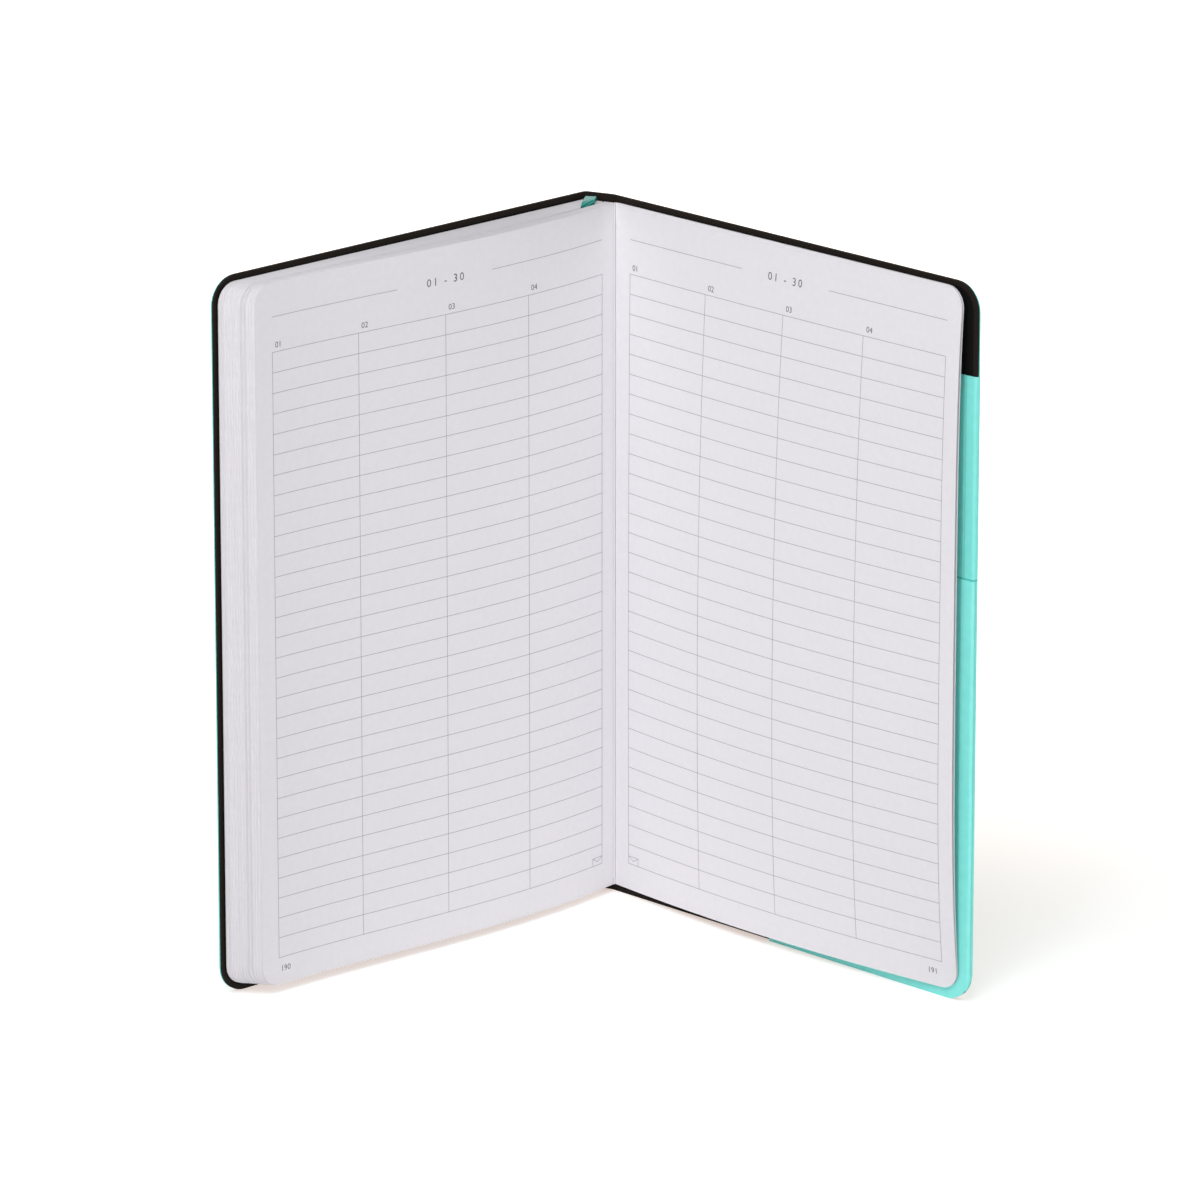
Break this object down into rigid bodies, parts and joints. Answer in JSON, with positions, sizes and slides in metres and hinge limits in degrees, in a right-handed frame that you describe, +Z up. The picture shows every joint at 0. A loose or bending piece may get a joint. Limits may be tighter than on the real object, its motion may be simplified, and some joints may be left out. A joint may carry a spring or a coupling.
{
  "type": "notebook",
  "caption": "Soft-cover notebook with sewn signatures, ribbon marker and back pocket; covers, leaves and pocket turn on hinges.",
  "frame": {"origin": "middle of the standing book's footprint, on the surface that it stands on", "axes": "+Z up along the spine, the reader is on the -Y side, +X to the right; the covers stand open as in the picture"},
  "size_m": [0.2126, 0.1043, 0.21],
  "materials": {
    "leatherette": "fine-grain matt",
    "cover_board": "matt black, dyed edge",
    "lining_paper": "matt",
    "writing_paper": "uncoated",
    "gauze": "woven",
    "glued_folds": "glued",
    "linen_thread": "waxed",
    "ribbon_satin": "satin",
    "pocket_paper": "smooth"
  },
  "bodies": {
    "spine": {"spine_skin": "leatherette", "spine_board": "cover_board", "spine_gauze": "gauze", "sewn_back": "glued_folds", "sewing_thread": "linen_thread"},
    "front_hinge": {"front_hinge_skin": "leatherette", "front_hinge_board": "cover_board"},
    "front_cover": {"front_cover_skin": "leatherette", "front_cover_board": "cover_board", "front_cover_lining": "lining_paper"},
    "back_cover": {"back_cover_skin": "leatherette", "back_cover_board": "cover_board", "back_cover_lining": "lining_paper", "pocket_back_panel": "pocket_paper", "pocket_fore_gusset": "pocket_paper", "pocket_side_seam": "pocket_paper", "pocket_bottom_fold": "pocket_paper"},
    "pocket_front": {"pocket_front_panel": "pocket_paper"},
    "signature_01": {"signature_01": "writing_paper", "front_flyleaf": "writing_paper"},
    "signature_02": {"signature_02": "writing_paper"},
    "signature_03": {"signature_03": "writing_paper"},
    "signature_04": {"signature_04": "writing_paper"},
    "signature_05": {"signature_05": "writing_paper"},
    "signature_06": {"signature_06": "writing_paper"},
    "signature_07": {"signature_07": "writing_paper"},
    "signature_08": {"signature_08": "writing_paper", "ribbon": "ribbon_satin"},
    "signature_09": {"signature_09": "writing_paper"},
    "signature_10": {"signature_10": "writing_paper"},
    "signature_11": {"signature_11": "writing_paper"},
    "signature_12": {"signature_12": "writing_paper"},
    "leaf_095": {"leaf_095": "writing_paper"},
    "back_flyleaf": {"back_flyleaf": "writing_paper"},
    "leaf_096": {"leaf_096": "writing_paper"}
  },
  "joints": [
    {"name": "block_close", "type": "hinge", "parent": "spine", "child": "signature_01", "pos_m": [-0.00287, 0.04742, 0.105], "axis": [0, 0, 1], "range_deg": [0, 47]},
    {"name": "signature_02_close", "type": "hinge", "parent": "spine", "child": "signature_02", "pos_m": [-0.0022, 0.04713, 0.105], "axis": [0, 0, 1], "range_deg": [0, 47]},
    {"name": "signature_03_close", "type": "hinge", "parent": "spine", "child": "signature_03", "pos_m": [-0.00153, 0.04684, 0.105], "axis": [0, 0, 1], "range_deg": [0, 47]},
    {"name": "signature_04_close", "type": "hinge", "parent": "spine", "child": "signature_04", "pos_m": [-0.00086, 0.04655, 0.105], "axis": [0, 0, 1], "range_deg": [0, 47]},
    {"name": "signature_05_close", "type": "hinge", "parent": "spine", "child": "signature_05", "pos_m": [-0.00019, 0.04627, 0.105], "axis": [0, 0, 1], "range_deg": [0, 47]},
    {"name": "signature_06_close", "type": "hinge", "parent": "spine", "child": "signature_06", "pos_m": [0.00048, 0.04598, 0.105], "axis": [0, 0, 1], "range_deg": [0, 47]},
    {"name": "signature_07_close", "type": "hinge", "parent": "spine", "child": "signature_07", "pos_m": [0.00114, 0.04569, 0.105], "axis": [0, 0, 1], "range_deg": [0, 47]},
    {"name": "signature_08_close", "type": "hinge", "parent": "spine", "child": "signature_08", "pos_m": [0.00181, 0.0454, 0.105], "axis": [0, 0, 1], "range_deg": [0, 47], "deforming": ["ribbon"]},
    {"name": "signature_09_close", "type": "hinge", "parent": "spine", "child": "signature_09", "pos_m": [0.0029, 0.04493, 0.105], "axis": [0, 0, 1], "range_deg": [0, 47]},
    {"name": "signature_10_close", "type": "hinge", "parent": "spine", "child": "signature_10", "pos_m": [0.00357, 0.04464, 0.105], "axis": [0, 0, 1], "range_deg": [0, 47]},
    {"name": "signature_11_close", "type": "hinge", "parent": "spine", "child": "signature_11", "pos_m": [0.00424, 0.04435, 0.105], "axis": [0, 0, 1], "range_deg": [0, 47]},
    {"name": "signature_12_close", "type": "hinge", "parent": "spine", "child": "signature_12", "pos_m": [0.0049, 0.04406, 0.105], "axis": [0, 0, 1], "range_deg": [0, 47]},
    {"name": "front_hinge_bend", "type": "hinge", "parent": "spine", "child": "front_hinge", "pos_m": [-0.00532, 0.04901, 0.105], "axis": [0, 0, 1], "range_deg": [0, 47]},
    {"name": "front_cover_open", "type": "hinge", "parent": "front_hinge", "child": "front_cover", "pos_m": [-0.009, 0.04563, 0.105], "axis": [0, 0, 1], "range_deg": [-85, 0]},
    {"name": "back_cover_hinge", "type": "hinge", "parent": "spine", "child": "back_cover", "pos_m": [0.00777, 0.04518, 0.105], "axis": [0, 0, -1], "range_deg": [-85, 43.5]},
    {"name": "leaf_095_turn", "type": "hinge", "parent": "signature_12", "child": "leaf_095", "pos_m": [0.00521, 0.04373, 0.105], "axis": [0, 0, -1], "range_deg": [-75, 0]},
    {"name": "pocket_open", "type": "hinge", "parent": "back_cover", "child": "pocket_front", "pos_m": [0.05009, 0.00118, 0.0022], "axis": [-0.7023, 0.7119, 0], "range_deg": [-4, 0], "stiffness_Nm_per_rad": 0.01, "deforming": ["pocket_fore_gusset", "pocket_side_seam", "pocket_bottom_fold"]},
    {"name": "back_flyleaf_push", "type": "hinge", "parent": "back_cover", "child": "back_flyleaf", "pos_m": [0.00656, 0.04392, 0.105], "axis": [0, 0, 1], "range_deg": [-7.6, 0]},
    {"name": "leaf_096_turn", "type": "hinge", "parent": "back_flyleaf", "child": "leaf_096", "pos_m": [0.00634, 0.04369, 0.105], "axis": [0, 0, 1], "range_deg": [-80, 0]}
  ],
  "couplings": [
    {"joint": "signature_02_close", "follows": "block_close", "ratio": 1},
    {"joint": "signature_03_close", "follows": "block_close", "ratio": 1},
    {"joint": "signature_04_close", "follows": "block_close", "ratio": 1},
    {"joint": "signature_05_close", "follows": "block_close", "ratio": 1},
    {"joint": "signature_06_close", "follows": "block_close", "ratio": 1},
    {"joint": "signature_07_close", "follows": "block_close", "ratio": 1},
    {"joint": "signature_08_close", "follows": "block_close", "ratio": 1},
    {"joint": "signature_09_close", "follows": "block_close", "ratio": 1},
    {"joint": "signature_10_close", "follows": "block_close", "ratio": 1},
    {"joint": "signature_11_close", "follows": "block_close", "ratio": 1},
    {"joint": "signature_12_close", "follows": "block_close", "ratio": 1},
    {"joint": "front_hinge_bend", "follows": "block_close", "ratio": 1},
    {"joint": "back_flyleaf_push", "follows": "pocket_open", "ratio": 1.9}
  ]
}
